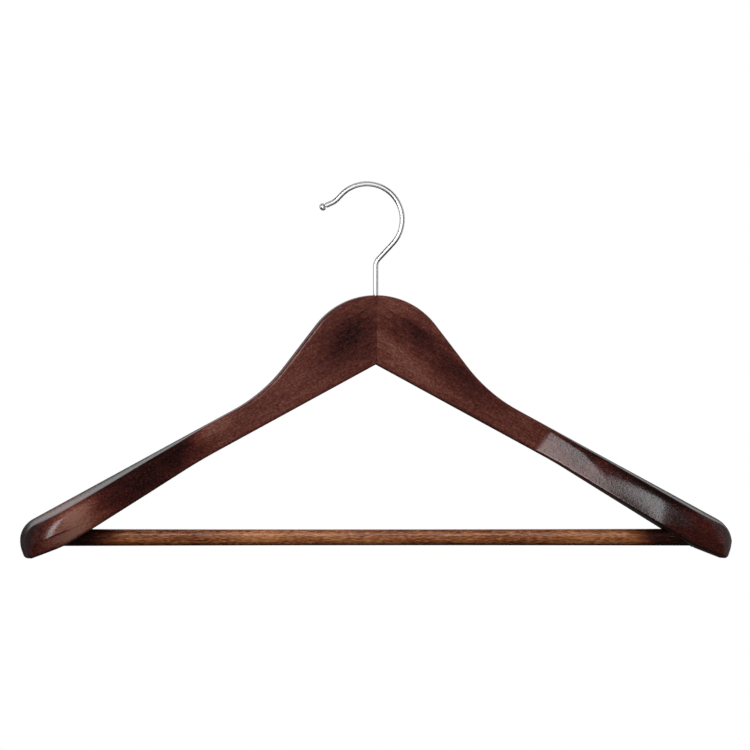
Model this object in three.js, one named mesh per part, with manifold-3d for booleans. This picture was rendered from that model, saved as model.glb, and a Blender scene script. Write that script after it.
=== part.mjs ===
// A wooden suit hanger with broad shoulders, a fixed trouser bar and a wire hook that swivels.
//
// Two flat arms meet in a mitre at the crown, held by two dowels. A thick block is glued to the front of
// each arm and a thin one to its rear, and they are shaped with it, so that the shoulder swells out,
// mostly forwards, towards its tip. The trouser bar sits in blind holes in the arms and is nailed from
// below. The hook's stem turns in a barbed bush that is pressed into the crown, and its upset foot bears
// on a washer under the bush.
//
// Millimetres. +X along the span, -Y to the front, +Z up. The origin is on the swivel axis, at the inside
// of the hook, where a rail carries the hanger.

import * as THREE from "three";
import { mergeVertices } from "three/addons/utils/BufferGeometryUtils.js";
import Module from "manifold-3d";

const wasm = await Module();
wasm.setup();

const { degToRad, lerp, smoothstep, clamp, mapLinear } = THREE.MathUtils;

// ---------------------------------------------------------------- driving dimensions

const HALF_SPAN = 221.2; // swivel axis to the end of a shoulder
const GAP = 0.3; // kept between pieces that touch

const HOOK = {
  wireR: 1.6,
  r: 22, // to the wire's centreline
  offset: -5.5, // centre of the arc, beside the swivel axis
  rise: 47, // crown to the centre of the arc
  throat: degToRad(43), // where the arc turns straight, below its centre on one side, above on the other
  neckR: 7, // bend between the stem and the arc
  tip: { straight: 5.3, bendR: 12, fall: degToRad(24), reach: 6.2 },
};
const BALL = { r: 2.35, halfThickness: 2, spigotR: 0.9, spigotLength: 2.2 };

const ARM = {
  slope: degToRad(28.55),
  height: 19.8, // of the straight stretch, measured upright
  mitre: 42.9, // length of the joint between the arms
  half: 7, // half the thickness of the flat board
  edgeR: 2.2,
};
const CROWN = { slope: degToRad(52.5), r: 46.4 };
const NECK_R = 100; // hollow between the crown and the arm
const BELLY = { from: 112, fromR: 300, to: 195.5, toR: 60, toDrop: 155.4 }; // fuller underside
const TIP = { over: 3.6, r: 16, toe: 217.4, toeDrop: 164, toeR: 3 };

// Each side's swelling: breadth from the board's middle, from where to where, and its section's shape.
const SWELLING = {
  front: {
    w: 34,
    from: 103.5,
    fromR: 30,
    to: 186,
    toR: 70,
    endR: 26,
    fall: 4.6,
    edgeR: 6,
    browR: 14,
    under: 0.93,
  },
  rear: {
    w: 14,
    from: 112,
    fromR: 60,
    to: 182,
    toR: 80,
    endR: 12,
    fall: 2,
    edgeR: 4,
    browR: 4,
    under: 0.85,
  },
};
const BROW = { from: 125, to: 150 }; // where the shoulder's edge grows into a broad brow
const LEAN = { from: 140, to: 180 }; // the swelling starts square to the arm and turns upright here
const RIDGE = 5; // how far the highest line of the shoulder lies behind the board's middle
const RELIEF = { from: 174, to: 200, height: 9.2, keel: 27 }; // flat cut under the shoulder's tip

const BAR = { middleR: 4.95, endR: 5.3, halfLength: 203, drop: 150.2 };

const BUSH = { r: 3.5, barb: 0.4, bore: 1.7, top: 0.8, length: 18, barbs: 5 };
const WASHER = { r: 3.2, bore: 1.9, thickness: 0.8 };
const FOOT = { r: 2.7, thickness: 1.6, chamfer: 0.8 };
const SOCKET_DEPTH = 24;
const DOWEL = { r: 2.5, halfLength: 13, chamfer: 0.8, drops: [28.5, 36.5] };
const BRAD = { x: 198, shankR: 0.8, headR: 1.6, headThickness: 0.7, length: 12, point: 2 };

const FACET = degToRad(7.5); // largest turn between neighbouring faces of a rounded outline
const BEYOND = 400; // reaches past every piece, for the cutting boxes

// ---------------------------------------------------------------- levels worked out from them

const HOOK_Z = -Math.sqrt((HOOK.r - HOOK.wireR) ** 2 - HOOK.offset ** 2); // centre of the hook's arc
const CROWN_Z = HOOK_Z - HOOK.rise; // top of the crown
const MITRE_Z = CROWN_Z - ARM.mitre; // foot of the mitre
const BAR_Z = CROWN_Z - BAR.drop;
const BUSH_FOOT_Z = CROWN_Z - BUSH.top - BUSH.length;

// ---------------------------------------------------------------- materials

function finish(color, roughness, metalness) {
  return new THREE.MeshStandardMaterial({ color, roughness, metalness });
}

const LACQUERED_WOOD = finish(0x4a2019, 0.3, 0);
const BAR_WOOD = finish(0x6a3c22, 0.3, 0);
const BARE_BEECH = finish(0xc9a377, 0.8, 0);
const CHROME = finish(0xd8d8dc, 0.12, 1);
const BRASS = finish(0xb5924c, 0.35, 1);
const STEEL = finish(0x9a9a9e, 0.4, 1);

// ---------------------------------------------------------------- outlines

// A path through corners [x, y, radius], each rounded by a tangent arc.
function roundedPath(corners) {
  const points = [];
  corners.forEach(([x, y, radius], i) => {
    const here = new THREE.Vector2(x, y);
    if (!radius) {
      points.push(here);
      return;
    }
    const back = new THREE.Vector2(...corners[i - 1]).sub(here).normalize();
    const on = new THREE.Vector2(...corners[i + 1]).sub(here).normalize();
    const half = Math.acos(clamp(back.dot(on), -1, 1)) / 2;
    const centre = back.clone().add(on).setLength(radius / Math.sin(half)).add(here);
    const from = back.setLength(radius / Math.tan(half)).add(here).sub(centre);
    const turn = (Math.PI - 2 * half) * Math.sign(from.cross(here.clone().sub(centre)));
    const steps = Math.max(2, Math.ceil(Math.abs(turn) / FACET));
    for (let k = 0; k <= steps; k++) {
      points.push(from.clone().rotateAround(new THREE.Vector2(), (turn * k) / steps).add(centre));
    }
  });
  return points;
}

// Value of a chain of points at x. The chain runs from small x to large.
function valueAt(chain, x) {
  const i = Math.max(1, chain.findIndex((p) => p.x >= x));
  return mapLinear(x, chain[i - 1].x, chain[i].x, chain[i - 1].y, chain[i].y);
}

// The right half of the front outline, from the top of the mitre round the tip to the foot of the mitre.
function frontOutline() {
  const boardTop = (x) => MITRE_Z + ARM.height - x * Math.tan(ARM.slope);
  const boardFoot = (x) => MITRE_Z - x * Math.tan(ARM.slope);
  const crownX = CROWN.r * Math.tan(CROWN.slope / 2);
  const flank = Math.tan(CROWN.slope);
  const neckX = (CROWN_Z + crownX * flank - boardTop(0)) / (flank - Math.tan(ARM.slope));
  return roundedPath([
    [0, CROWN_Z],
    [crownX, CROWN_Z, CROWN.r],
    [neckX, boardTop(neckX), NECK_R],
    [HALF_SPAN + TIP.over, boardTop(HALF_SPAN + TIP.over), TIP.r],
    [TIP.toe, CROWN_Z - TIP.toeDrop, TIP.toeR],
    [BELLY.to, CROWN_Z - BELLY.toDrop, BELLY.toR],
    [BELLY.from, boardFoot(BELLY.from), BELLY.fromR],
    [0, MITRE_Z],
  ]);
}

// Breadth of one side in plan, from the mitre to the tip.
function planOutline({ w, from, fromR, to, toR, endR }) {
  return roundedPath([
    [0, ARM.half],
    [from, ARM.half, fromR],
    [to, w, toR],
    [HALF_SPAN, w, endR],
    [HALF_SPAN, 0],
  ]);
}

const outline = frontOutline();
const tipIndex = outline.reduce((best, p, i) => (p.x > outline[best].x ? i : best), 0);
const topChain = outline.slice(0, tipIndex + 1);
const footChain = outline.slice(tipIndex).reverse();
const plans = { front: planOutline(SWELLING.front), rear: planOutline(SWELLING.rear) };
const END_X = Math.min(outline[tipIndex].x, HALF_SPAN) - 0.05;

// ---------------------------------------------------------------- the shaped arm

// One side of the upright section at x, as [out, z] from the ridge to the middle of the underside.
function sideSection(x, side) {
  const shape = SWELLING[side];
  const top = valueAt(topChain, x);
  const foot = valueAt(footChain, x);
  const height = top - foot;
  const w = valueAt(plans[side], x);
  const broad = clamp((w - ARM.half) / (shape.w - ARM.half), 0, 1);
  const swollen = smoothstep(x, shape.from, shape.to);
  const relieved = smoothstep(x, RELIEF.from, RELIEF.to);
  const climb = (valueAt(topChain, x - 4) - valueAt(topChain, x)) / 4;
  const steep = Math.min(Math.hypot(1, climb), 1.8);

  const ridge = (side === "front" ? -RIDGE : RIDGE) * smoothstep(x, ARM.half, shape.to);
  const shoulder = new THREE.Vector2(w, top - Math.min(lerp(0.5, shape.fall, broad), height * 0.2));
  const relief = Math.min(RELIEF.keel, w * 0.8);
  const keel = new THREE.Vector2(lerp(w * lerp(1, shape.under, swollen), relief, relieved), foot);
  const rise = Math.min(lerp(3, RELIEF.height, relieved), height * 0.36);
  const plainCrease = mapLinear(foot + rise, foot, shoulder.y, keel.x, w);
  const crease = new THREE.Vector2(lerp(plainCrease, w * 0.96, relieved), foot + rise);

  const edge = lerp(ARM.edgeR, shape.edgeR, broad);
  const face = shoulder.distanceTo(crease);
  const inward = Math.min(edge, w * 0.45);
  const deep = lerp(edge, shape.browR, smoothstep(x, BROW.from, BROW.to));
  const downward = Math.min(deep * steep, face * 0.85);
  const creaseR = Math.min(0.8, crease.distanceTo(keel) * 0.3, face * 0.12);
  const keelR = Math.min(lerp(ARM.edgeR, 3.2, broad), crease.distanceTo(keel) * 0.6, keel.x * 0.5);

  const towards = (a, b, length) => b.clone().sub(a).setLength(length).add(a);
  const path = new THREE.Path();
  const bend = (corner, before, inLength, after, outLength) => {
    const a = towards(corner, before, inLength);
    const b = towards(corner, after, outLength);
    path.lineTo(a.x, a.y);
    path.quadraticCurveTo(corner.x, corner.y, b.x, b.y);
  };
  const brow = new THREE.Vector2((w + ridge) / 2, top);
  const browEnd = towards(shoulder, brow, inward);
  path.moveTo(ridge, top);
  path.quadraticCurveTo(brow.x, brow.y, browEnd.x, browEnd.y);
  const over = towards(shoulder, crease, downward);
  path.quadraticCurveTo(shoulder.x, shoulder.y, over.x, over.y);
  bend(crease, shoulder, creaseR, keel, creaseR);
  bend(keel, crease, keelR, new THREE.Vector2(0, foot), keelR);
  path.lineTo(0, foot);
  return path.getPoints(3).map((point) => leaning(point, x, w, (top + foot) / 2, plans[side]));
}

// Takes a point's breadth from a line square to the arm, not from the upright at x.
function leaning(point, x, w, middle, plan) {
  const lean = Math.tan(ARM.slope) * (1 - smoothstep(x, LEAN.from, LEAN.to));
  const breadth = valueAt(plan, Math.max(x - lean * (point.y - middle), 0));
  return new THREE.Vector2((point.x * breadth) / w, point.y);
}

// A closed ring of [x, y, z], down the front and up the rear.
function ring(x) {
  const front = sideSection(x, "front").map((p) => [x, -p.x, p.y]);
  const rear = sideSection(x, "rear").map((p) => [x, p.x, p.y]);
  return [...front, ...rear.slice(1, -1).reverse()];
}

// Where the rings stand: at every point of the outlines, and between them where they are far apart.
function stations() {
  const first = GAP / 2;
  const marks = [...topChain, ...footChain, ...plans.front, ...plans.rear].map((p) => p.x);
  const sorted = marks.filter((x) => x > first + 1 && x < END_X).sort((a, b) => a - b);
  const xs = [first];
  for (const x of [...sorted, END_X]) {
    const gap = x - xs.at(-1);
    const closest = x > RELIEF.to ? 0.7 : 1.6;
    const widest = x > SWELLING.front.from ? 8 : 40;
    if (gap < closest && x < END_X) continue;
    const parts = Math.ceil(gap / widest);
    for (let k = 1; k <= parts; k++) xs.push(x - gap + (gap * k) / parts);
  }
  return xs;
}

// A closed mesh through rings of [x, y, z], each with the same number of points.
function loft(rings) {
  const n = rings[0].length;
  const last = (rings.length - 1) * n;
  const index = [];
  for (let start = 0; start < last; start += n) {
    for (let k = 0; k < n; k++) {
      const a = start + k;
      const b = start + ((k + 1) % n);
      index.push(a, b, a + n, b, b + n, a + n);
    }
  }
  for (let k = 1; k + 1 < n; k++) {
    index.push(0, k + 1, k);
    index.push(last, last + k, last + k + 1);
  }
  return new THREE.BufferGeometry()
    .setAttribute("position", new THREE.Float32BufferAttribute(rings.flat(2), 3))
    .setIndex(index);
}

// ---------------------------------------------------------------- booleans

function solid(geometry) {
  const bare = geometry.clone();
  bare.deleteAttribute("normal");
  bare.deleteAttribute("uv");
  const merged = mergeVertices(bare, 1e-4);
  const mesh = new wasm.Mesh({
    numProp: 3,
    vertProperties: new Float32Array(merged.attributes.position.array),
    triVerts: new Uint32Array(merged.index.array),
  });
  return new wasm.Manifold(mesh);
}

function geometryOf(manifold) {
  const mesh = manifold.getMesh();
  return new THREE.BufferGeometry()
    .setAttribute("position", new THREE.BufferAttribute(mesh.vertProperties, 3))
    .setIndex(new THREE.BufferAttribute(mesh.triVerts, 1));
}

// Everything between two upright planes across Y.
function layer(y0, y1) {
  const geometry = new THREE.BoxGeometry(2 * BEYOND, y1 - y0, 2 * BEYOND);
  return solid(geometry.translate(0, (y0 + y1) / 2, 0));
}

const cutAway = (from, cuts) => cuts.reduce((left, cut) => left.subtract(cut), from);
const otherSide = (manifold) => manifold.mirror([1, 0, 0]);

// A turned solid standing on Z, from [radius, z] points listed upwards, from the axis back to the axis.
function turned(profile, segments) {
  const points = profile.map(([r, z]) => new THREE.Vector2(r, z));
  return new THREE.LatheGeometry(points, segments).rotateX(Math.PI / 2);
}

// ---------------------------------------------------------------- bar, dowels, nails

// extra widens a piece into the hole that it sits in.
function bar(extra) {
  const steps = 10;
  const half = BAR.halfLength + extra;
  const profile = [[0, -half]];
  for (let k = 0; k <= steps; k++) {
    const along = (2 * k) / steps - 1;
    profile.push([lerp(BAR.middleR, BAR.endR, along ** 2) + extra, along * half]);
  }
  profile.push([0, half]);
  return turned(profile, 24).rotateY(Math.PI / 2).translate(0, 0, BAR_Z);
}

function dowel(drop, extra) {
  const half = DOWEL.halfLength + extra;
  const r = DOWEL.r + extra;
  const profile = [
    [0, -half],
    [r - DOWEL.chamfer, -half],
    [r, -half + DOWEL.chamfer],
    [r, half - DOWEL.chamfer],
    [r - DOWEL.chamfer, half],
    [0, half],
  ];
  return turned(profile, 16).rotateY(Math.PI / 2).translate(0, 0, CROWN_Z - drop);
}

function brad(extra) {
  const below = 10 * extra; // a hole runs out through the underside
  const foot = valueAt(footChain, BRAD.x) - below;
  const neck = foot + below + BRAD.headThickness + extra;
  const end = neck + BRAD.length;
  const profile = [
    [0, foot],
    [BRAD.headR + extra, foot],
    [BRAD.headR + extra, neck],
    [BRAD.shankR + extra, neck],
    [BRAD.shankR + extra, end - BRAD.point],
    [0, end + extra],
  ];
  return turned(profile, 12).translate(BRAD.x, 0, 0);
}

// ---------------------------------------------------------------- the right side's wood

const shaped = solid(loft(stations().map(ring)));
const faceY = ARM.half + 0.05; // where the blocks are glued on

function rightArm() {
  const socketZ = CROWN_Z - SOCKET_DEPTH;
  const socketR = BUSH.r + GAP;
  const socket = [[0, socketZ], [socketR, socketZ], [socketR, CROWN_Z + 5], [0, CROWN_Z + 5]];
  const holes = [turned(socket, 24), bar(GAP), brad(GAP), ...DOWEL.drops.map((drop) => dowel(drop, GAP))];
  return cutAway(shaped.intersect(layer(-faceY, faceY)), holes.map(solid));
}

const arm = rightArm();
const frontBlock = shaped.intersect(layer(-BEYOND, -faceY - GAP));
const rearBlock = shaped.intersect(layer(faceY + GAP, BEYOND));

function nailedBar() {
  const hole = solid(brad(GAP));
  return cutAway(solid(bar(0)), [hole, otherSide(hole)]);
}

// ---------------------------------------------------------------- hook

// The wire's centreline in the plane of the hook, from its foot in the crown to its tip.
function hookLine() {
  const s = Math.sin(HOOK.throat);
  const c = Math.cos(HOOK.throat);
  const centre = new THREE.Vector2(HOOK.offset, HOOK_Z);
  const low = new THREE.Vector2(c, -s).multiplyScalar(HOOK.r).add(centre);
  const high = new THREE.Vector2(-c, s).multiplyScalar(HOOK.r).add(centre);
  const bend = new THREE.Vector2(-s, -c).multiplyScalar(HOOK.tip.straight).add(high);
  const fall = new THREE.Vector2(-Math.cos(HOOK.tip.fall), -Math.sin(HOOK.tip.fall));
  const tip = fall.multiplyScalar(HOOK.tip.reach).add(bend);
  const footZ = BUSH_FOOT_Z - WASHER.thickness - FOOT.thickness - 2 * GAP;
  const neck = roundedPath([[0, footZ], [0, low.y - (low.x * c) / s, HOOK.neckR], [low.x, low.y]]);
  const arc = new THREE.EllipseCurve(centre.x, centre.y, HOOK.r, HOOK.r, -HOOK.throat, Math.PI - HOOK.throat);
  const end = roundedPath([[high.x, high.y], [bend.x, bend.y, HOOK.tip.bendR], [tip.x, tip.y]]);
  return [...neck, ...arc.getPoints(24).slice(1), ...end.slice(1)];
}

const hookPoints = hookLine().map((p) => new THREE.Vector3(p.x, 0, p.y));
const tipPoint = hookPoints.at(-1);
const tipDirection = tipPoint.clone().sub(hookPoints.at(-2)).normalize();

// A curve that runs straight from point to point, so that a section swept along it keeps to them.
class Polyline extends THREE.Curve {
  getPoint(t, target = new THREE.Vector3()) {
    const along = clamp(t, 0, 1) * (hookPoints.length - 1);
    const i = Math.min(Math.floor(along), hookPoints.length - 2);
    return target.lerpVectors(hookPoints[i], hookPoints[i + 1], along - i);
  }
  getPointAt(t, target) {
    return this.getPoint(t, target);
  }
  getTangent(t, target = new THREE.Vector3()) {
    const step = 0.5 / (hookPoints.length - 1);
    return target.copy(this.getPoint(t + step)).sub(this.getPoint(t - step)).normalize();
  }
  getTangentAt(t, target) {
    return this.getTangent(t, target);
  }
}

// Stands a solid turned on Z at the hook's tip, with its +Z along the wire's last stretch.
function atTip(geometry) {
  const turn = new THREE.Quaternion().setFromUnitVectors(new THREE.Vector3(0, 0, 1), tipDirection);
  return geometry.applyQuaternion(turn).translate(tipPoint.x, tipPoint.y, tipPoint.z);
}

function spigot(extra) {
  const r = BALL.spigotR + extra;
  return atTip(turned([[0, -1], [r, -1], [r, BALL.spigotLength + extra], [0, BALL.spigotLength + extra]], 12));
}

function hookWire() {
  const section = new THREE.Shape(new THREE.Path().absarc(0, 0, HOOK.wireR, 0, 2 * Math.PI).getPoints(6));
  const options = { steps: hookPoints.length - 1, extrudePath: new Polyline() };
  const wire = new THREE.ExtrudeGeometry(section, options);
  const low = hookPoints[0].z;
  const foot = [
    [0, low - 0.5],
    [FOOT.r - FOOT.chamfer, low - 0.5],
    [FOOT.r, low - 0.5 + FOOT.chamfer],
    [FOOT.r, low + FOOT.thickness],
    [0, low + FOOT.thickness],
  ];
  return solid(wire).add(solid(turned(foot, 20))).add(solid(spigot(0)));
}

function hookBall() {
  const steps = 10;
  const profile = [];
  for (let k = 0; k <= steps; k++) {
    const angle = Math.PI * (k / steps - 0.5);
    const r = k % steps ? BALL.r * Math.cos(angle) : 0;
    profile.push([r, GAP + BALL.halfThickness * (1 + Math.sin(angle))]);
  }
  return cutAway(solid(atTip(turned(profile, 16))), [solid(spigot(GAP))]);
}

function hookBush() {
  const top = CROWN_Z - BUSH.top;
  const pitch = BUSH.length / BUSH.barbs;
  const root = BUSH.r - BUSH.barb;
  const profile = [[BUSH.bore, BUSH_FOOT_Z]];
  for (let k = 0; k < BUSH.barbs; k++) {
    profile.push([root, BUSH_FOOT_Z + k * pitch], [BUSH.r, BUSH_FOOT_Z + (k + 0.85) * pitch]);
  }
  profile.push([root, top], [BUSH.bore, top], [BUSH.bore, BUSH_FOOT_Z]);
  return turned(profile, 24);
}

function stemWasher() {
  const top = BUSH_FOOT_Z - GAP;
  const low = top - WASHER.thickness;
  const { r, bore } = WASHER;
  return turned([[bore, low], [r, low], [r, top], [bore, top], [bore, low]], 24);
}

// ---------------------------------------------------------------- the hanger

const hanger = new THREE.Group();

function piece(name, geometry, material) {
  const mesh = new THREE.Mesh(geometry, material);
  mesh.name = name;
  hanger.add(mesh);
}

function pair(name, manifold, material) {
  piece(`right_${name}`, geometryOf(manifold), material);
  piece(`left_${name}`, geometryOf(otherSide(manifold)), material);
}

pair("arm", arm, LACQUERED_WOOD);
pair("front_shoulder_block", frontBlock, LACQUERED_WOOD);
pair("rear_shoulder_block", rearBlock, LACQUERED_WOOD);
pair("bar_brad", solid(brad(0)), STEEL);
piece("trouser_bar", geometryOf(nailedBar()), BAR_WOOD);
piece("upper_joint_dowel", dowel(DOWEL.drops[0], 0), BARE_BEECH);
piece("lower_joint_dowel", dowel(DOWEL.drops[1], 0), BARE_BEECH);
piece("hook_wire", geometryOf(hookWire()), CHROME);
piece("hook_ball_tip", geometryOf(hookBall()), CHROME);
piece("hook_bush", hookBush(), BRASS);
piece("hook_stem_washer", stemWasher(), STEEL);

export default hanger;
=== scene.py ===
"""A wooden suit hanger: stained and lacquered arms with glued shoulder blocks, a turned trouser bar and a
bright wire hook that swivels.

Sizes are in millimetres until a mesh is made. +X runs along the span, -Y to the front, +Z up the stem.
"""

import math

import bmesh
import bpy
import numpy as np
from mathutils import Matrix, Vector


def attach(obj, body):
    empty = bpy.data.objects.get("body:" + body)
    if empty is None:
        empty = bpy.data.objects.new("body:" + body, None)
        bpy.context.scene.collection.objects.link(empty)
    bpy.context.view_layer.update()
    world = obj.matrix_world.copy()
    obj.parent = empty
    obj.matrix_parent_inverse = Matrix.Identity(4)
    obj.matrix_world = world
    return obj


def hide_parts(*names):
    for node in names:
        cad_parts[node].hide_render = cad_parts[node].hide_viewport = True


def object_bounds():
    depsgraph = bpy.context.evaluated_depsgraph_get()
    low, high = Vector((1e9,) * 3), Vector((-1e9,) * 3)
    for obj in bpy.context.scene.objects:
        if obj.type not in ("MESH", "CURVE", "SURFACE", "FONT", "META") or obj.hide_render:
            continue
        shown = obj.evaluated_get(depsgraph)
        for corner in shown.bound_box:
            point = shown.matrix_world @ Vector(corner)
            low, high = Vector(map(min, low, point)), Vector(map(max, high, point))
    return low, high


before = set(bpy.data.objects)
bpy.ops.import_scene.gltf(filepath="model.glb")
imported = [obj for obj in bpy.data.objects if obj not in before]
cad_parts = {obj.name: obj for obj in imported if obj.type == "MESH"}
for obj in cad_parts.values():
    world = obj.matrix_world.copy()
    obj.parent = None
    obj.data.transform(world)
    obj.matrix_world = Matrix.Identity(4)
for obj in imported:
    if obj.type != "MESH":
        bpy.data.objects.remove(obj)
cad_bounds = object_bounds()

# ---------------------------------------------------------------- driving dimensions

MM = 0.001
HALF_SPAN = 221.2  # swivel axis to the end of a shoulder
WIRE_R = 1.6
HOOK_R = 22.0  # to the wire's centreline
HOOK_X = -5.5  # centre of the hook's arc
HOOK_RISE = 47.0  # crown to the centre of the arc
THROAT = math.radians(43)  # where the arc turns straight
NECK_BEND = 7.0
TIP_STRAIGHT, TIP_BEND, TIP_FALL, TIP_REACH = 5.3, 12.0, math.radians(24), 6.2
BEAD_R, BEAD_HALF, SPIGOT_R, SPIGOT_LENGTH = 2.35, 2.0, 0.9, 2.2

SLOPE = math.radians(28.55)  # of the arms
ARM_HEIGHT = 19.8
MITRE = 42.9
BOARD_HALF = 7.0
CROWN_SLOPE, CROWN_R, NECK_R = math.radians(52.5), 46.4, 100.0
BELLY_FROM, BELLY_TO, BELLY_DROP = 112.0, 195.5, 155.4
TIP_OVER, TIP_R, TOE_X, TOE_DROP, TOE_R = 3.6, 16.0, 217.4, 164.0, 3.0
RELIEF_FROM, RELIEF_TO, RELIEF_HEIGHT, RELIEF_KEEL = 174.0, 200.0, 9.2, 27.0
BROW_FROM, BROW_TO = 125.0, 150.0  # where the shoulder's edge grows into a broad brow
LEAN_FROM, LEAN_TO = 140.0, 180.0  # the swelling starts square to the arm and turns upright here
RIDGE = 5.0  # the shoulder's highest line, behind the board's middle

# The two swellings: their breadth from the middle plane, where they start and are full, and their edges.
# The front's breadth is a hair under the CAD's 34 mm, because the CAD's facets cut across its arcs.
FRONT = {
    "w": 33.87,
    "start": 103.5,
    "start_r": 10.0,
    "full": 186.0,
    "full_r": 70.0,
    "end_r": 26.0,
    "fall": 4.6,
    "edge": 6.0,
    "brow": 14.0,
    "under": 0.93,
}
REAR = {
    "w": 14.0,
    "start": 112.0,
    "start_r": 60.0,
    "full": 182.0,
    "full_r": 80.0,
    "end_r": 12.0,
    "fall": 2.0,
    "edge": 4.0,
    "brow": 4.0,
    "under": 0.85,
}

BELLY_R, WAIST_R = 60.0, 300.0  # of the underside's curves, by the toe and where the belly starts
BOARD_FALL, BOARD_RISE, BOARD_EDGE, KEEL_EDGE = 0.5, 3.0, 2.2, 3.2  # before the shoulder swells
CREASE_R, CREASE_OUT = 0.8, 0.96  # its rounding, and how far out it runs as a share of the breadth
STEEPEST = 1.8  # the most that a steep top may lengthen the brow

# The most of its own height, breadth, face or edge that each feature of a section may take up.
MOST = {
    "fall": 0.2,
    "rise": 0.36,
    "relief": 0.8,
    "inward": 0.45,
    "brow": 0.85,
    "crease": 0.3,
    "crease_face": 0.12,
    "keel": 0.6,
    "keel_foot": 0.5,
}
SECTION_STEPS = {"top": 14, "brow": 16, "face": 8, "crease": 4, "relief": 3, "keel": 10, "under": 4}
FIRST_RING, END_GAP = 0.02, 0.004  # the rings' distance from the mitre and from the tip
ARM_RINGS, SHOULDER_RINGS, SHOULDER_RINGS_FROM = 1.5, 0.9, 92
TIP_RINGS, TIP_RINGS_FROM = 48, 200.0

BAR_MIDDLE_R, BAR_END_R, BAR_HALF, BAR_DROP = 4.95, 5.3, 203.0, 150.2
BUSH_R, BUSH_TOP, BUSH_LENGTH = 3.5, 0.8, 18.0
WASHER_THICKNESS, FOOT_R, FOOT_THICKNESS, FOOT_CHAMFER = 0.8, 2.7, 1.6, 0.8
SOCKET_DEPTH = 24.0
DOWEL_R, DOWEL_HALF, DOWEL_DROPS = 2.5, 13.0, {"upper": 28.5, "lower": 36.5}
FLUTE_DEPTH, FLUTES = 0.25, 20
BRAD_X, BRAD_HEAD_R, BRAD_HEAD, BRAD_R, BRAD_LENGTH = 198.0, 1.6, 0.7, 0.8, 12.0
HEAD_ROOM = 3.3  # how far the nail's wide hole goes on above its head
SOLE = 0.5  # how far the hook's foot reaches below the wire's end
OVERRUN = 5.0  # how far a drill starts outside the wood

FIT = 0.06  # room round a piece in its hole
GLUE_LINE = 7.05  # where the blocks meet the board
GLUE_FILM = 0.01  # between the board and a block, so that they share no face
BEYOND = 60.0  # past the breadth of any piece
CLIMB_STEP = 4  # over which the top's slope is measured
GAP = 0.3  # the CAD's clearance, which sets the hook's foot
HAIR = 0.1  # the most that a rounder surface may stand out of the CAD's faceted box

HOOK_Z = -math.sqrt((HOOK_R - WIRE_R) ** 2 - HOOK_X**2)
CROWN_Z = HOOK_Z - HOOK_RISE
MITRE_Z = CROWN_Z - MITRE
BAR_Z = CROWN_Z - BAR_DROP
BUSH_FOOT_Z = CROWN_Z - BUSH_TOP - BUSH_LENGTH
FOOT_Z = BUSH_FOOT_Z - WASHER_THICKNESS - FOOT_THICKNESS - 2 * GAP


# ---------------------------------------------------------------- numbers and colours


def lerp(a, b, t):
    return a + (b - a) * t


def smoothstep(x, low, high):
    t = min(max((x - low) / (high - low), 0.0), 1.0)
    return t * t * (3 - 2 * t)


def colour(code):
    """Linear colour from an sRGB hex code."""
    parts = [int(code[i : i + 2], 16) / 255 for i in (0, 2, 4)]
    return tuple(p / 12.92 if p < 0.04045 else ((p + 0.055) / 1.055) ** 2.4 for p in parts) + (1.0,)


# ---------------------------------------------------------------- node trees


class Value:
    """A node's output that does arithmetic: an expression on it adds the Math nodes it needs."""

    def __init__(self, board, socket):
        self.board = board
        self.socket = socket

    def math(self, operation, *others):
        return self.board.node("ShaderNodeMath", {"operation": operation}, dict(enumerate(others)))

    def __add__(self, other):
        return self.math("ADD", self, other)

    def __sub__(self, other):
        return self.math("SUBTRACT", self, other)

    def __rsub__(self, other):
        return self.math("SUBTRACT", other, self)

    def __mul__(self, other):
        return self.math("MULTIPLY", self, other)

    def __truediv__(self, other):
        return self.math("DIVIDE", self, other)

    def __rtruediv__(self, other):
        return self.math("DIVIDE", other, self)

    def __neg__(self):
        return self * -1.0

    def __abs__(self):
        return self.math("ABSOLUTE", self)

    def exp(self):
        return self.math("EXPONENT", self)

    def ramp(self, low, high, to_low=0.0, to_high=1.0):
        """A soft step from to_low at low to to_high at high."""
        settings = {"interpolation_type": "SMOOTHSTEP"}
        inputs = {0: self, 1: low, 2: high, 3: to_low, 4: to_high}
        return self.board.node("ShaderNodeMapRange", settings, inputs)

    __radd__ = __add__
    __rmul__ = __mul__


class Board:
    """A node tree that is filled in by its methods."""

    def __init__(self, tree):
        self.tree = tree

    def node(self, kind, settings=None, inputs=None, output=0):
        """Adds a node, sets it, then feeds its sockets. Returns the output asked for."""
        node = self.tree.nodes.new(kind)
        for key, value in (settings or {}).items():
            if key == "stops":
                self.set_stops(node.color_ramp, value)
            else:
                setattr(node, key, value)
        for key, value in (inputs or {}).items():
            if isinstance(value, Value):
                self.tree.links.new(value.socket, node.inputs[key])
            else:
                node.inputs[key].default_value = value
        return Value(self, node.outputs[output])

    @staticmethod
    def set_stops(ramp, stops):
        while len(ramp.elements) < len(stops):
            ramp.elements.new(1.0)
        for element, (position, shade) in zip(ramp.elements, stops):
            element.position = position
            element.color = shade

    def vector(self, x, y, z):
        return self.node("ShaderNodeCombineXYZ", {}, {0: x, 1: y, 2: z})

    def noise(self, vector, scale=1.0, detail=3.0, roughness=0.5):
        inputs = {"Vector": vector, "Scale": scale, "Detail": detail, "Roughness": roughness}
        return self.node("ShaderNodeTexNoise", {}, inputs)

    def mix(self, factor, a, b):
        return self.node("ShaderNodeMix", {"data_type": "RGBA"}, {0: factor, 6: a, 7: b}, output=2)


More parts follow.
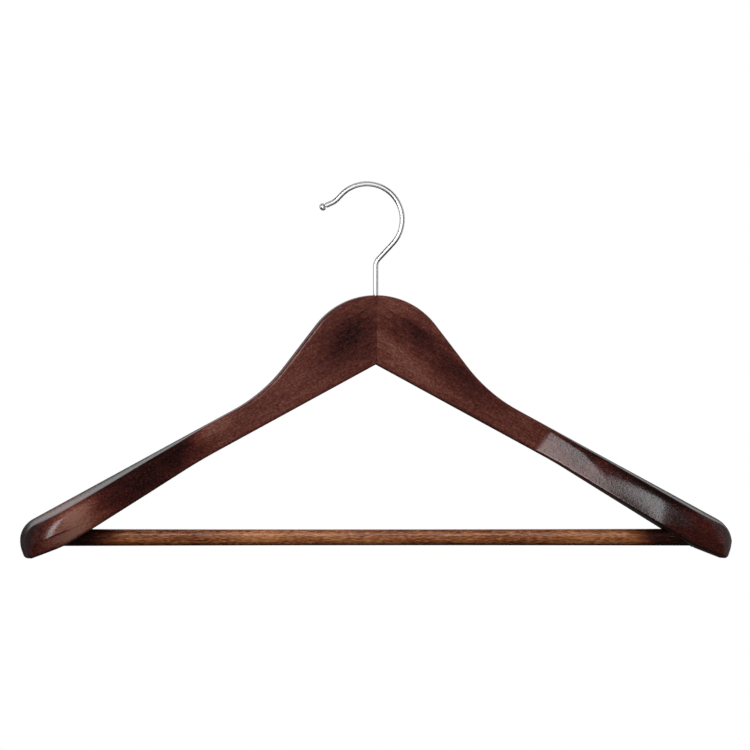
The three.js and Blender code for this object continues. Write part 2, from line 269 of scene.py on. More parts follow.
class Finish(Board):
    """A material's nodes, with the place on the piece in millimetres."""

    def __init__(self, name):
        self.material = bpy.data.materials.new(name)
        self.material.use_nodes = True
        super().__init__(self.material.node_tree)
        self.tree.nodes.clear()
        place = self.node("ShaderNodeTexCoord", output="Object")
        parts = self.node("ShaderNodeSeparateXYZ", {}, {0: place}).socket.node
        self.x, self.y, self.z = (Value(self, parts.outputs[i]) * 1000.0 for i in range(3))

    def facing(self):
        """How squarely the surface faces the front or the rear, from 0 to 1."""
        normal = self.node("ShaderNodeTexCoord", output="Normal")
        return abs(self.node("ShaderNodeSeparateXYZ", {}, {0: normal}, output="Y"))

    def bump(self, height, distance):
        return self.node("ShaderNodeBump", {}, {"Strength": 1.0, "Distance": distance * MM, "Height": height})

    def surface(self, **sockets):
        """Ends the material in a Principled shader with these sockets."""
        inputs = {key.replace("_", " "): value for key, value in sockets.items()}
        shader = self.node("ShaderNodeBsdfPrincipled", {}, inputs)
        out = self.tree.nodes.new("ShaderNodeOutputMaterial")
        self.tree.links.new(shader.socket, out.inputs["Surface"])
        return self.material


# ---------------------------------------------------------------- finishes

# Blots of sprayed stain and of painted light and shade, where the tone lies dark or light: x, z, half length,
# half width, tilt in degrees, strength. The dark blots on the crown are sprayed stain. The light blots on the
# right crown, at the start of the left flare and on the left end are painted sheen and highlights. The dark
# blots over the right shoulder and end, over the left shoulder and on the left tip are painted shade.
STAIN_AND_PAINTED_LIGHT_BLOTS = {
    1: [
        (22, -92, 16, 8, -38, -0.34),
        (50, -117, 28, 8, -36, -0.34),
        (14, -72, 16, 9, -20, 0.10),
        (20, -106, 24, 8, -30, 0.20),
        (150, -172, 44, 7, -29, -0.50),
        (172, -196, 36, 24, -29, -0.52),
        (164, -189, 18, 6, -32, 0.12),
        (196, -204, 12, 7, -50, 0.10),
        (212, -213, 14, 18, -29, -0.16),
    ],
    -1: [
        (-20, -92, 17, 8, 42, -0.26),
        (-14, -98, 26, 16, 32, -0.24),
        (-52, -122, 30, 14, 30, 0.06),
        (-100, -149, 9, 7, 29, 0.20),
        (-123, -160, 13, 8, 29, -0.26),
        (-142, -176, 32, 22, 29, -0.50),
        (-168, -186, 14, 14, 29, -0.12),
        (-188, -203, 13, 7, 30, 0.52),
        (-194, -217, 15, 6, 25, 0.44),
        (-217, -212, 9, 26, -8, -0.34),
    ],
}

STAIN = [
    (0.0, colour("1a0a09")),
    (0.25, colour("3a1714")),
    (0.5, colour("5c2a22")),
    (0.75, colour("7d483b")),
    (1.0, colour("9a6a5a")),
]

CREASE_LINE = (-199, -214.3, 9, 0.4, 22)  # a dark hairline along the relief's crease on the left end


def blot(x, z, centre_x, centre_z, length, width, tilt):
    """A soft-edged oval, 1 in its middle, turned by tilt degrees."""
    turn = math.radians(tilt)
    dx = x - centre_x
    dz = z - centre_z
    u = (dx * math.cos(turn) + dz * math.sin(turn)) / length
    v = (dz * math.cos(turn) - dx * math.sin(turn)) / width
    return (-(u * u + v * v)).exp()


def lacquered_wood(side):
    """Walnut stain under a glossy lacquer, sprayed darker in places, with painted light and shade in others:
    in some of its blots, and on the rims where the surface turns away from the front and rear. The grain runs
    down the arm.
    """
    finish = Finish("lacquered_wood_right" if side > 0 else "lacquered_wood_left")
    x, y, z = finish.x, finish.y, finish.z
    along = x * (side * math.cos(SLOPE)) - z * math.sin(SLOPE)
    across = x * (side * math.sin(SLOPE)) + z * math.cos(SLOPE)

    smoke = finish.noise(finish.vector(along * 0.03, across * 0.07, y * 0.07), detail=2.0)
    figure = finish.noise(finish.vector(along * 0.02, across * 0.32, y * 0.32), detail=4.0, roughness=0.6)
    fibre = finish.noise(finish.vector(along * 0.25, across * 1.5, y * 1.5), detail=4.0, roughness=0.7)
    fleck = finish.noise(finish.vector(along * 0.75, across * 1.1, y * 1.1), detail=3.0, roughness=0.7)
    pores = finish.noise(finish.vector(along * 0.35, across * 4.6, y * 4.6), detail=2.0).ramp(0.60, 0.70)

    drift = (smoke - 0.5) * 16.0
    tone = (figure - 0.5) * 0.45 + (fibre - 0.5) * 0.6 + (fleck - 0.5) * 1.1 + 0.60
    # Each blot darkens or lightens the tone: some are sprayed stain, the others are painted highlights, sheen
    # and shade.
    for *place, strength in STAIN_AND_PAINTED_LIGHT_BLOTS[side]:
        tone = tone + blot(x + drift, z + drift, *place) * strength
    if side < 0:
        tone = tone - blot(x, z, *CREASE_LINE) * 0.7

    # Darker where the surface turns away from the front and rear, as on the tip's rounding and the edges:
    # sprayed edge toner in part, painted shade in part.
    facing = finish.facing()
    rim_toner_and_shade = facing.ramp(0.25, 0.94, 0.42, 0.0) - facing.ramp(0.05, 0.30, 0.26, 0.0)
    glued = abs(x).ramp(104.0, 112.0)
    glue_line = (abs(abs(y) - GLUE_LINE)).ramp(0.05, 0.22, 0.30, 0.0) * glued
    seam = abs(x).ramp(0.1, 0.6, 0.05, 0.0)
    tone = tone - rim_toner_and_shade - glue_line - seam - pores * 0.10
    base = finish.node("ShaderNodeValToRGB", {"stops": STAIN}, {0: tone})

    peel = finish.noise(finish.vector(x, y, z), scale=0.55, detail=1.0)
    height = fibre * 0.3 + peel * 0.4 + fleck * 0.5 - pores * 0.2
    normal = finish.bump(height, 0.09)
    roughness = fleck * 0.10 + pores * 0.12 + 0.15
    return finish.surface(Base_Color=base, Roughness=roughness, Normal=normal)


BAR_STAIN = [
    (0.0, colour("160908")),
    (0.3, colour("40190f")),
    (0.6, colour("8a4b28")),
    (1.0, colour("c98a58")),
]


def bar_wood():
    """Golden brown with dark flecks along the grain, with painted shade that makes it nearly black at both
    ends, where it runs in under the arms, and darker along its top and bottom.
    """
    finish = Finish("bar_wood")
    x, y, z = finish.x, finish.y, finish.z
    grain = finish.noise(finish.vector(x * 0.05, y * 0.9, z * 0.9), detail=5.0, roughness=0.6)
    flecks = finish.noise(finish.vector(x * 0.28, y * 1.6, z * 1.6), detail=3.0, roughness=0.6)
    cloud = finish.noise(finish.vector(x * 0.02, y * 0.05, z * 0.05), detail=2.0)
    # Painted shade: the bar's ends, where they run in under the arms, are nearly black.
    ends = (abs(x) + (flecks - 0.5) * 30.0).ramp(154.0, 180.0)
    # Painted shade: darker along the top and bottom, where the bar turns away from the front.
    rim_shade = finish.facing().ramp(0.15, 0.88, 0.42, 0.0)
    tone = (grain - 0.5) * 0.8 + (flecks - 0.5) * 1.5 + (cloud - 0.5) * 0.7 + 0.69 - ends * 0.46 - rim_shade
    base = finish.node("ShaderNodeValToRGB", {"stops": BAR_STAIN}, {0: tone})
    normal = finish.bump(grain * 0.6 + flecks, 0.09)
    return finish.surface(Base_Color=base, Roughness=flecks * 0.2 + 0.16, Normal=normal)


def bright_wire():
    """Plated wire with fine drawing marks and a few dull spots."""
    finish = Finish("hook_chrome")
    marks = finish.noise(finish.vector(finish.x, finish.y, finish.z), scale=1.5, detail=3.0)
    dull = finish.noise(finish.vector(finish.x, finish.y, finish.z), scale=0.4, detail=3.0).ramp(0.55, 0.75)
    base = finish.mix(dull, colour("f4f4f5"), colour("e6e6e8"))
    normal = finish.bump(marks, 0.0005)
    roughness = marks * 0.06 + dull * 0.06 + 0.25
    return finish.surface(Base_Color=base, Metallic=1.0, Roughness=roughness, Normal=normal)


def turned_metal(name, light, dark, smoothest):
    """Metal with fine turning marks round the upright axis, darker where it has tarnished."""
    finish = Finish(name)
    marks = finish.noise(finish.vector(finish.x * 0.2, finish.y * 0.2, finish.z * 9.0), detail=2.0)
    tarnish = finish.noise(finish.vector(finish.x, finish.y, finish.z), scale=0.5, detail=4.0).ramp(0.45, 0.7)
    base = finish.mix(tarnish, colour(light), colour(dark))
    normal = finish.bump(marks, 0.01)
    roughness = marks * 0.15 + tarnish * 0.15 + smoothest
    return finish.surface(Base_Color=base, Metallic=1.0, Roughness=roughness, Normal=normal)


def bare_beech():
    """Unfinished beech with its short flecks, along the dowel."""
    finish = Finish("bare_beech")
    x, y, z = finish.x, finish.y, finish.z
    grain = finish.noise(finish.vector(x * 0.2, y * 2.0, z * 2.0), detail=4.0)
    flecks = finish.noise(finish.vector(x * 0.9, y * 4.0, z * 4.0), detail=1.0).ramp(0.58, 0.66)
    base = finish.mix(flecks * 0.6 + grain * 0.4, colour("d3b085"), colour("a97f55"))
    normal = finish.bump(grain - flecks * 0.4, 0.04)
    return finish.surface(Base_Color=base, Roughness=grain * 0.2 + 0.6, Normal=normal)


# ---------------------------------------------------------------- meshes


def piece(name, vertices, faces):
    """An object at the origin whose mesh is closed and faces outwards, from millimetres."""
    mesh = bpy.data.meshes.new(name)
    mesh.from_pydata([tuple(MM * c for c in v) for v in vertices], [], faces)
    shell = bmesh.new()
    shell.from_mesh(mesh)
    bmesh.ops.remove_doubles(shell, verts=shell.verts, dist=1e-7)
    bmesh.ops.recalc_face_normals(shell, faces=shell.faces)
    shell.to_mesh(mesh)
    shell.free()
    obj = bpy.data.objects.new(name, mesh)
    bpy.context.scene.collection.objects.link(obj)
    return obj


def loft(name, rings):
    """A closed skin over rings that have the same number of points."""
    n = len(rings[0])
    faces = []
    for start in range(0, (len(rings) - 1) * n, n):
        for k in range(n):
            a, b = start + k, start + (k + 1) % n
            faces.append((a, b, b + n, a + n))
    faces.append(tuple(range(n)))
    faces.append(tuple(reversed(range((len(rings) - 1) * n, len(rings) * n))))
    return piece(name, [p for ring in rings for p in ring], faces)


def turned(name, profile, segments=64, place=Matrix.Identity(4)):
    """A solid turned on Z from (radius, height) points that start and end on the axis, then placed."""
    turns = [2 * math.pi * k / segments for k in range(segments)]
    points = [(r * math.cos(t), r * math.sin(t), h) for r, h in profile for t in turns]
    faces = []
    for row in range(len(profile) - 1):
        for k in range(segments):
            a, b = row * segments + k, row * segments + (k + 1) % segments
            faces.append((a, b, b + segments, a + segments))
    return piece(name, [place @ Vector(p) for p in points], faces)


def settled(obj):
    """Bakes an object's modifiers into its mesh."""
    bpy.context.view_layer.update()
    depsgraph = bpy.context.evaluated_depsgraph_get()
    mesh = bpy.data.meshes.new_from_object(obj.evaluated_get(depsgraph))
    obj.modifiers.clear()
    obj.data = mesh
    return obj


def cut(obj, operation, others):
    """Cuts obj by the others, or joins them to it, and removes them."""
    for other in others:
        modifier = obj.modifiers.new("cut", "BOOLEAN")
        modifier.operation = operation
        modifier.solver = "MANIFOLD"
        modifier.object = other
        settled(obj)
        bpy.data.objects.remove(other)
    return obj


def copy_of(obj, name):
    twin = bpy.data.objects.new(name, obj.data.copy())
    bpy.context.scene.collection.objects.link(twin)
    return twin


def box(name, across_x, across_y, across_z):
    """A closed box between two planes each way."""
    corners = [(x, y, z) for x in across_x for y in across_y for z in across_z]
    faces = [(0, 1, 3, 2), (4, 6, 7, 5), (0, 4, 5, 1), (2, 3, 7, 6), (0, 2, 6, 4), (1, 5, 7, 3)]
    return piece(name, corners, faces)


def slab(y0, y1):
    """Everything between two upright planes across Y."""
    far = 400.0
    return box("slab", (-far, far), (y0, y1), (-far, far))


def keep_inside(obj):
    """Presses back the points that stand out of the whole hanger's CAD box, which may only be by a hair."""
    points = np.array([v.co for v in obj.data.vertices])
    pressed = np.clip(points, *(np.array(corner) for corner in cad_bounds))
    moved = np.abs(pressed - points).max() / MM
    if moved > HAIR:
        raise ValueError(f"{obj.name} stands {moved:.3f} mm out of the CAD's box")
    obj.data.vertices.foreach_set("co", pressed.ravel())
    obj.data.update()


def finished(obj, body, material, node):
    """Smooth shading, the material, and what the piece rides on and stands for."""
    keep_inside(obj)
    obj.data.materials.clear()
    obj.data.materials.append(material)
    obj.data.shade_smooth()
    obj.data.set_sharp_from_angle(angle=math.radians(35))
    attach(obj, body)
    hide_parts(node)
    return obj


# ---------------------------------------------------------------- outlines

ARC_STEP = math.radians(0.05)


def rounded_path(corners, arc_step=ARC_STEP):
    """Points of a path through corners (x, y, radius), each rounded by a tangent arc."""
    points = []
    for i, (x, y, radius) in enumerate(corners):
        here = Vector((x, y))
        if not radius:
            points.append(here)
            continue
        back = (Vector(corners[i - 1][:2]) - here).normalized()
        on = (Vector(corners[i + 1][:2]) - here).normalized()
        half = back.angle(on) / 2
        centre = here + (back + on).normalized() * (radius / math.sin(half))
        start = here + back * (radius / math.tan(half)) - centre
        turn = math.copysign(math.pi - 2 * half, start.cross(here - centre))
        steps = max(2, math.ceil(abs(turn) / arc_step))
        points += [Matrix.Rotation(turn * k / steps, 2) @ start + centre for k in range(steps + 1)]
    return np.array([tuple(p) for p in points])


def front_outline():
    """The right half seen from the front, from the top of the mitre round the tip to its foot."""
    fall = math.tan(SLOPE)
    flank = math.tan(CROWN_SLOPE)
    crown_x = CROWN_R * math.tan(CROWN_SLOPE / 2)
    board_top = MITRE_Z + ARM_HEIGHT
    neck_x = (CROWN_Z + crown_x * flank - board_top) / (flank - fall)
    over_x = HALF_SPAN + TIP_OVER
    return rounded_path(
        [
            (0, CROWN_Z, 0),
            (crown_x, CROWN_Z, CROWN_R),
            (neck_x, board_top - neck_x * fall, NECK_R),
            (over_x, board_top - over_x * fall, TIP_R),
            (TOE_X, CROWN_Z - TOE_DROP, TOE_R),
            (BELLY_TO, CROWN_Z - BELLY_DROP, BELLY_R),
            (BELLY_FROM, MITRE_Z - BELLY_FROM * fall, WAIST_R),
            (0, MITRE_Z, 0),
        ]
    )


def plan_outline(shape):
    """Breadth of one side seen from above, from the mitre to the tip."""
    return rounded_path(
        [
            (0, BOARD_HALF, 0),
            (shape["start"], BOARD_HALF, shape["start_r"]),
            (shape["full"], shape["w"], shape["full_r"]),
            (HALF_SPAN, shape["w"], shape["end_r"]),
            (HALF_SPAN, 0, 0),
        ]
    )


OUTLINE = front_outline()
TIP_INDEX = int(OUTLINE[:, 0].argmax())
TOP = OUTLINE[: TIP_INDEX + 1]
FOOT = OUTLINE[TIP_INDEX:][::-1]
END_X = OUTLINE[TIP_INDEX, 0] - END_GAP
PLANS = {id(shape): plan_outline(shape) for shape in (FRONT, REAR)}


def on(chain, x):
    """Height or breadth of an outline at x."""
    return float(np.interp(x, chain[:, 0], chain[:, 1]))


# ---------------------------------------------------------------- the shaped arms


def bezier(a, b, c, count):
    """Points of a quadratic curve, without its last."""
    steps = [k / count for k in range(count)]
    return [a * (1 - t) ** 2 + b * (2 * t * (1 - t)) + c * t**2 for t in steps]


def straight(a, b, count):
    return [a.lerp(b, k / count) for k in range(count)]


def towards(a, b, length):
    return a + (b - a).normalized() * length


def side_section(x, shape):
    """One side of the upright section at x, as (out, z) from the ridge to the middle of the underside."""
    plan = PLANS[id(shape)]
    top, foot, w = on(TOP, x), on(FOOT, x), on(plan, x)
    height = top - foot
    broad = min(max((w - BOARD_HALF) / (shape["w"] - BOARD_HALF), 0.0), 1.0)
    swollen = smoothstep(x, shape["start"], shape["full"])
    relieved = smoothstep(x, RELIEF_FROM, RELIEF_TO)
    climb = (on(TOP, x - CLIMB_STEP) - top) / CLIMB_STEP
    steep = min(math.hypot(1, climb), STEEPEST)

    ridge = (-RIDGE if shape is FRONT else RIDGE) * smoothstep(x, BOARD_HALF, shape["full"])
    shoulder = Vector((w, top - min(lerp(BOARD_FALL, shape["fall"], broad), height * MOST["fall"])))
    relief = min(RELIEF_KEEL, w * MOST["relief"])
    keel = Vector((lerp(w * lerp(1, shape["under"], swollen), relief, relieved), foot))
    rise = min(lerp(BOARD_RISE, RELIEF_HEIGHT, relieved), height * MOST["rise"])
    plain = lerp(keel.x, w, rise / (shoulder.y - foot))
    crease = Vector((lerp(plain, w * CREASE_OUT, relieved), foot + rise))

    edge = lerp(BOARD_EDGE, shape["edge"], broad)
    face = (shoulder - crease).length
    flank = (crease - keel).length
    inward = min(edge, w * MOST["inward"])
    deep = lerp(edge, shape["brow"], smoothstep(x, BROW_FROM, BROW_TO))
    downward = min(deep * steep, face * MOST["brow"])
    crease_r = min(CREASE_R, flank * MOST["crease"], face * MOST["crease_face"])
    keel_r = min(lerp(BOARD_EDGE, KEEL_EDGE, broad), flank * MOST["keel"], keel.x * MOST["keel_foot"])

    start = Vector((ridge, top))
    brow = Vector(((w + ridge) / 2, top))
    brow_end = towards(shoulder, brow, inward)
    over = towards(shoulder, crease, downward)
    crease_in, crease_out = towards(crease, shoulder, crease_r), towards(crease, keel, crease_r)
    middle = Vector((0, foot))
    keel_in, keel_out = towards(keel, crease, keel_r), towards(keel, middle, keel_r)
    steps = SECTION_STEPS
    points = [
        *bezier(start, brow, brow_end, steps["top"]),
        *bezier(brow_end, shoulder, over, steps["brow"]),
        *straight(over, crease_in, steps["face"]),
        *bezier(crease_in, crease, crease_out, steps["crease"]),
        *straight(crease_out, keel_in, steps["relief"]),
        *bezier(keel_in, keel, keel_out, steps["keel"]),
        *straight(keel_out, middle, steps["under"]),
        middle,
    ]
    return [leaning(p, x, w, (top + foot) / 2, plan) for p in points]


def leaning(point, x, w, middle, plan):
    """Takes a point's breadth from a line square to the arm, not from the upright at x."""
    lean = math.tan(SLOPE) * (1 - smoothstep(x, LEAN_FROM, LEAN_TO))
    breadth = on(plan, max(x - lean * (point.y - middle), 0.0))
    return Vector((point.x * breadth / w, point.y))


def stations():
    """Where the rings stand, closer together as the tip turns down."""
    arm = np.arange(FIRST_RING, SHOULDER_RINGS_FROM, ARM_RINGS)
    shoulder = np.arange(SHOULDER_RINGS_FROM, TIP_RINGS_FROM, SHOULDER_RINGS)
    turns = [math.pi / 2 * k / TIP_RINGS for k in range(TIP_RINGS + 1)]
    tip = [TIP_RINGS_FROM + (END_X - TIP_RINGS_FROM) * math.sin(turn) for turn in turns]
    return [*arm, *shoulder, *tip]


def shaped_half(side):
    """One arm with its two blocks as one solid, as it leaves the sander."""
    rings = []
    for x in stations():
        front = [(side * x, -p.x, p.y) for p in side_section(x, FRONT)]
        rear = [(side * x, p.x, p.y) for p in side_section(x, REAR)]
        rings.append(front + rear[-2:0:-1])
    return loft("shaped_half", rings)


def along_x(x=0.0, z=0.0):
    return Matrix.Translation((x, 0, z)) @ Matrix.Rotation(math.pi / 2, 4, "Y")


def bar_profile(extra):
    half = BAR_HALF + extra
    steps = [2 * k / 24 - 1 for k in range(25)]
    barrel = [(lerp(BAR_MIDDLE_R, BAR_END_R, t * t) + extra, t * half) for t in steps]
    return [(0, -half), *barrel, (0, half)]


def pin_profile(r, low, high):
    return [(0, low), (r, low), (r, high), (0, high)]


def arm_holes(side):
    """What is bored out of an arm: the bush's socket, the dowel holes, the bar's blind hole, the nail's."""
    foot = on(FOOT, BRAD_X)
    head_r, shank_r = BRAD_HEAD_R + FIT, BRAD_R + FIT
    shelf = foot + BRAD_HEAD + HEAD_ROOM
    nail = [
        (0, foot - OVERRUN),
        (head_r, foot - OVERRUN),
        (head_r, shelf),
        (shank_r, shelf),
        (shank_r, foot + BRAD_HEAD + BRAD_LENGTH + GAP),
        (0, foot + BRAD_HEAD + BRAD_LENGTH + GAP),
    ]
    holes = [
        turned("socket", pin_profile(BUSH_R + FIT, CROWN_Z - SOCKET_DEPTH, CROWN_Z + OVERRUN)),
        turned("bar_hole", bar_profile(FIT), place=along_x(z=BAR_Z)),
        turned("nail_hole", nail, 32, Matrix.Translation((side * BRAD_X, 0, 0))),
    ]
    reach = DOWEL_HALF + GAP
    dowel = pin_profile(DOWEL_R + FIT, -reach, reach)
    for drop in DOWEL_DROPS.values():
        holes.append(turned("dowel_hole", dowel, place=along_x(z=CROWN_Z - drop)))
    return holes


def make_arms():
    """Each arm with its two blocks, parted at the glue lines, and then bored."""
    film = GLUE_LINE + GLUE_FILM
    for side, hand in ((1, "right"), (-1, "left")):
        wood = lacquered_wood(side)
        half = shaped_half(side)
        front = cut(copy_of(half, f"{hand}_front_block_wood"), "INTERSECT", [slab(-BEYOND, -film)])
        rear = cut(copy_of(half, f"{hand}_rear_block_wood"), "INTERSECT", [slab(film, BEYOND)])
        arm = cut(copy_of(half, f"{hand}_arm_wood"), "INTERSECT", [slab(-GLUE_LINE, GLUE_LINE)])
        cut(arm, "DIFFERENCE", arm_holes(side))
        finished(arm, "hanger_body", wood, f"{hand}_arm")
        finished(front, "hanger_body", wood, f"{hand}_front_shoulder_block")
        finished(rear, "hanger_body", wood, f"{hand}_rear_shoulder_block")
        bpy.data.objects.remove(half)


# ---------------------------------------------------------------- pieces that follow a path


class PathTree(Board):
    """A node tree that makes a mesh from an object's own edges and from named sizes."""

    def __init__(self, name, sizes):
        super().__init__(bpy.data.node_groups.new(name, "GeometryNodeTree"))
        interface = self.tree.interface
        for label, kind in {"Path": "Geometry", **sizes}.items():
            interface.new_socket(name=label, in_out="INPUT", socket_type=f"NodeSocket{kind}")
        interface.new_socket(name="Mesh", in_out="OUTPUT", socket_type="NodeSocketGeometry")
        self.given = self.tree.nodes.new("NodeGroupInput")

    def size(self, label):
        return Value(self, self.given.outputs[label])

    def sweep(self, section, material, scale=1.0):
        """Ends the tree in a section that follows the path, scaled along it."""
        curve = self.node("GeometryNodeMeshToCurve", {}, {0: self.size("Path")})
        sockets = {"Curve": curve, "Profile Curve": section, "Scale": scale, "Fill Caps": True}
        mesh = self.node("GeometryNodeCurveToMesh", {}, sockets)
        mesh = self.node("GeometryNodeRealizeInstances", {}, {0: mesh})
        mesh = self.node("GeometryNodeSetMaterial", {}, {"Geometry": mesh, "Material": material})
        self.tree.links.new(mesh.socket, self.tree.nodes.new("NodeGroupOutput").inputs[0])
        return self.tree


def round_rod_tree(name, material):
    """A round rod, whose radius grows as the square of the distance from its middle."""
    board = PathTree(name, {"Radius": "Float", "End Radius": "Float", "Sides": "Int"})
    radius, end_radius, sides = (board.size(label) for label in ("Radius", "End Radius", "Sides"))
    along = board.node("GeometryNodeSplineParameter", output="Factor") * 2.0 - 1.0
    swell = radius + (end_radius - radius) * along * along
    ring = board.node("GeometryNodeCurvePrimitiveCircle", {}, {"Resolution": sides, "Radius": 1.0})
    return board.sweep(ring, material, swell)


def fluted_rod_tree(name, material):
    """A rod with straight flutes for the glue."""
    board = PathTree(name, {"Radius": "Float", "Flute Depth": "Float", "Flutes": "Int"})
    radius, depth, flutes = (board.size(label) for label in ("Radius", "Flute Depth", "Flutes"))
    star = {"Points": flutes, "Inner Radius": radius - depth, "Outer Radius": radius}
    return board.sweep(board.node("GeometryNodeCurveStar", {}, star), material)


def along_path(name, points, tree, sizes):
    """A piece that a tree makes along points in millimetres. Sizes are in metres, or are counts."""
    mesh = bpy.data.meshes.new(name)
    edges = [(k, k + 1) for k in range(len(points) - 1)]
    mesh.from_pydata([tuple(MM * c for c in p) for p in points], edges, [])
    obj = bpy.data.objects.new(name, mesh)
    bpy.context.scene.collection.objects.link(obj)
    modifier = obj.modifiers.new("sweep", "NODES")
    modifier.node_group = tree
    for item in tree.interface.items_tree:
        if item.in_out == "INPUT" and item.name in sizes:
            modifier[item.identifier] = sizes[item.name]
    return settled(obj)


def hook_line():
    """The wire's centreline in the plane of the hook, from its foot in the crown to its tip."""
    s, c = math.sin(THROAT), math.cos(THROAT)
    centre = Vector((HOOK_X, HOOK_Z))
    low = centre + Vector((c, -s)) * HOOK_R
    high = centre + Vector((-c, s)) * HOOK_R
    bend = high + Vector((-s, -c)) * TIP_STRAIGHT
    tip = bend + Vector((-math.cos(TIP_FALL), -math.sin(TIP_FALL))) * TIP_REACH
    step = math.radians(2)
    foot = (0, FOOT_Z, 0)
    neck = rounded_path([foot, (0, low.y - low.x * c / s, NECK_BEND), (low.x, low.y, 0)], step)
    turns = np.linspace(-THROAT, math.pi - THROAT, 91)[1:]
    arc = [(HOOK_X + HOOK_R * math.cos(t), HOOK_Z + HOOK_R * math.sin(t)) for t in turns]
    end = rounded_path([(*high, 0), (*bend, TIP_BEND), (*tip, 0)], step)
    return [Vector((x, 0, z)) for x, z in [*neck, *arc, *end[1:]]]


def foot_profile():
    """The upset foot that keeps the wire in its bush, chamfered below."""
    sole = FOOT_Z - SOLE
    return [
        (0, sole),
        (FOOT_R - FOOT_CHAMFER, sole),
        (FOOT_R, sole + FOOT_CHAMFER),
        (FOOT_R, FOOT_Z + FOOT_THICKNESS),
        (0, FOOT_Z + FOOT_THICKNESS),
    ]


def bead_profile():
    """The oval bead, from its pole by the wire to its far pole."""
    steps = 24
    turns = [math.pi * (k / steps - 0.5) for k in range(1, steps)]
    belt = [(BEAD_R * math.cos(t), GAP + BEAD_HALF * (1 + math.sin(t))) for t in turns]
    return [(0, GAP), *belt, (0, GAP + 2 * BEAD_HALF)]


def make_hook():
    """The wire with its foot and its spigot, and the bead on the spigot. Returns both."""
    chrome = bright_wire()
    line = hook_line()
    sizes = {"Radius": WIRE_R * MM, "End Radius": WIRE_R * MM, "Sides": 40}
    wire = along_path("hook_wire_bent", line, round_rod_tree("wire_sweep", chrome), sizes)
    heading = (line[-1] - line[-2]).normalized()
    upright = Vector((0, 0, 1))
    at_tip = Matrix.Translation(line[-1]) @ upright.rotation_difference(heading).to_matrix().to_4x4()
    spigot = turned("spigot", pin_profile(SPIGOT_R, -1, SPIGOT_LENGTH), 24, at_tip)
    cut(wire, "UNION", [turned("foot", foot_profile(), 48), spigot])
    finished(wire, "hook", chrome, "hook_wire")
    ball = turned("hook_bead", bead_profile(), 48, at_tip)
    hole = turned("bead_hole", pin_profile(SPIGOT_R + FIT, -1, SPIGOT_LENGTH + FIT), 24, at_tip)
    finished(cut(ball, "DIFFERENCE", [hole]), "hook", chrome, "hook_ball_tip")
    return wire, ball


def make_bar():
    """The trouser bar, slightly thicker at its ends, with a hole for each nail."""
    wood = bar_wood()
    steps = 96
    line = [(lerp(-BAR_HALF, BAR_HALF, k / steps), 0, BAR_Z) for k in range(steps + 1)]
    sizes = {"Radius": BAR_MIDDLE_R * MM, "End Radius": BAR_END_R * MM, "Sides": 64}
    bar = along_path("trouser_bar_wood", line, round_rod_tree("bar_sweep", wood), sizes)
    foot = on(FOOT, BRAD_X)
    nail = pin_profile(BRAD_R + FIT, foot - OVERRUN, foot + BRAD_HEAD + BRAD_LENGTH + GAP)
    places = [Matrix.Translation((side * BRAD_X, 0, 0)) for side in (1, -1)]
    holes = [turned("nail_hole", nail, 32, place) for place in places]
    return finished(cut(bar, "DIFFERENCE", holes), "hanger_body", wood, "trouser_bar")


def make_dowels():
    beech = bare_beech()
    tree = fluted_rod_tree("fluted_dowel", beech)
    sizes = {"Radius": DOWEL_R * MM, "Flute Depth": FLUTE_DEPTH * MM, "Flutes": FLUTES}
    for level, drop in DOWEL_DROPS.items():
        ends = [(side * DOWEL_HALF, 0, CROWN_Z - drop) for side in (-1, 1)]
        dowel = along_path(f"{level}_dowel_fluted", ends, tree, sizes)
        finished(dowel, "hanger_body", beech, f"{level}_joint_dowel")


def finish_small_metal():
    """The bush, the washer and the nails keep their CAD shapes."""
    brass = turned_metal("bush_brass", "c9a55c", "8a6a35", 0.22)
    steel = turned_metal("bright_steel", "a9a9ac", "77777b", 0.28)
    small = {"hook_bush": brass, "hook_stem_washer": steel, "right_bar_brad": steel, "left_bar_brad": steel}
    for name, material in small.items():
        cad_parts[name].material_slots[0].material = material


# ---------------------------------------------------------------- studio

VIEW_AZIMUTH = math.radians(-5)
VIEW_DISTANCE = 15.0
FIELD = 0.465  # height and width that the camera sees, at the hanger
AIM = Vector((-0.00043, 0.0, -0.1162))
FLOOR_DROP = 0.55
FLOOR_THICKNESS = 10.0  # in millimetres, where the rest of the studio is in metres


def make_camera():
    data = bpy.data.cameras.new("camera")
    data.sensor_width = 36.0
    data.lens = data.sensor_width * VIEW_DISTANCE / FIELD
    data.clip_start = 0.1
    data.clip_end = 80.0
    camera = bpy.data.objects.new("camera", data)
    back = Vector((math.sin(VIEW_AZIMUTH), -math.cos(VIEW_AZIMUTH), 0))
    camera.location = AIM + back * VIEW_DISTANCE
    camera.rotation_euler = (math.pi / 2, 0, VIEW_AZIMUTH)
    bpy.context.scene.collection.objects.link(camera)
    bpy.context.scene.camera = camera


def softbox(name, azimuth, elevation, distance, width, height, brightness, tint=(1, 1, 1), roll=0.0):
    """An area light that looks at the hanger from azimuth degrees right of the front. Returns it."""
    data = bpy.data.lights.new(name, "AREA")
    data.shape = "RECTANGLE"
    data.size = width
    data.size_y = height
    data.color = tint
    data.energy = brightness * math.pi * width * height
    light = bpy.data.objects.new(name, data)
    a, e = math.radians(azimuth), math.radians(elevation)
    out = Vector((math.sin(a) * math.cos(e), -math.cos(a) * math.cos(e), math.sin(e)))
    light.location = AIM + out * distance
    upright = out.to_track_quat("Z", "Y").to_matrix()
    light.rotation_euler = (upright @ Matrix.Rotation(math.radians(roll), 3, "Z")).to_euler()
    light.visible_camera = False
    bpy.context.scene.collection.objects.link(light)
    return light


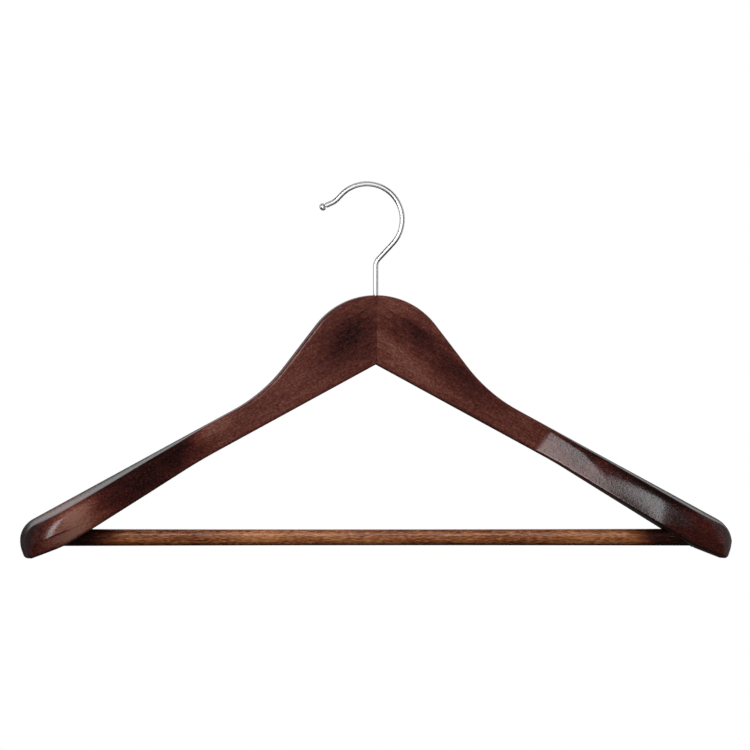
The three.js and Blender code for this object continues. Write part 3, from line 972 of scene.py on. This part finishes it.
def make_lights():
    """The lights that the pieces mirror, then soft ones that they don't."""
    softbox("left_softbox", -31, 3, 6.0, 1.9, 5.0, 7.2, (0.97, 0.98, 1.0), roll=-18)
    softbox("right_fill", 112, 8, 3.2, 5.0, 5.0, 0.22)
    softbox("left_fill", -112, 8, 3.2, 5.0, 5.0, 0.12)
    softbox("backdrop", 180, 32, 2.0, 3.0, 1.5, 0.75)
    for name, azimuth, elevation, brightness in (
        ("front_bounce", 5, 20, 1.7),
        ("right_bounce", 100, 15, 5.0),
        ("left_bounce", -105, 15, 4.0),
        ("rear_bounce", 185, 20, 2.6),
        ("top_bounce", 0, 80, 2.4),
    ):
        softbox(name, azimuth, elevation, 3.0, 2.0, 2.0, brightness).visible_glossy = False


def light_only(name, pieces, lights):
    """Keeps lights to a few pieces, as a black screen would keep them off the rest."""
    lit = bpy.data.collections.new(name)
    for obj in pieces:
        lit.objects.link(obj)
    for light in lights:
        light.light_linking.receiver_collection = lit


def light_bar_and_hook(bar, hook):
    """A strip that draws the bright line along the bar, and white cards that the wire mirrors."""
    light_only("bar_only", [bar], [softbox("bar_strip", 5, 40, 2.4, 0.8, 0.22, 14.0)])
    cards = [
        softbox("hook_front_card", 0, 5, 2.5, 2.6, 2.6, 1.1),
        softbox("hook_left_card", -95, 5, 2.5, 3.0, 2.6, 0.5),
        softbox("hook_right_card", 95, 5, 2.5, 2.6, 2.6, 0.35),
        softbox("hook_top_card", 0, 85, 2.5, 2.6, 2.6, 0.5),
        softbox("hook_low_card", 0, -60, 2.5, 2.6, 2.6, 0.4),
    ]
    light_only("hook_only", hook, cards)


def make_world():
    world = bpy.data.worlds.new("studio")
    world.use_nodes = True
    bpy.context.scene.world = world
    board = Board(world.node_tree)
    world.node_tree.nodes.clear()
    seen = board.node("ShaderNodeLightPath", output="Is Camera Ray")
    shade = board.mix(seen, (0.03, 0.03, 0.03, 1), (1, 1, 1, 1))
    light = board.node("ShaderNodeBackground", {}, {"Color": shade, "Strength": 1.0})
    out = world.node_tree.nodes.new("ShaderNodeOutputWorld")
    world.node_tree.links.new(light.socket, out.inputs["Surface"])
    bpy.context.scene.view_settings.view_transform = "Standard"


def make_floor():
    """A pale floor well below the hanger."""
    finish = Finish("pale_floor")
    grain = finish.noise(finish.vector(finish.x, finish.y, finish.z), scale=0.02, detail=4.0)
    base = finish.mix(grain, colour("f2f2f2"), colour("e9e9ea"))
    material = finish.surface(Base_Color=base, Roughness=0.9, Emission_Color=base, Emission_Strength=0.7)
    reach = 3000
    top = (AIM.z - FLOOR_DROP) / MM
    floor = box("floor", (-reach, reach), (-reach, reach), (top - FLOOR_THICKNESS, top))
    floor.data.materials.append(material)
    floor.visible_glossy = False
    floor.visible_diffuse = False


# ---------------------------------------------------------------- the hanger

make_camera()
make_arms()
bar = make_bar()
make_dowels()
hook = make_hook()
finish_small_metal()
make_lights()
light_bar_and_hook(bar, hook)
make_world()
make_floor()
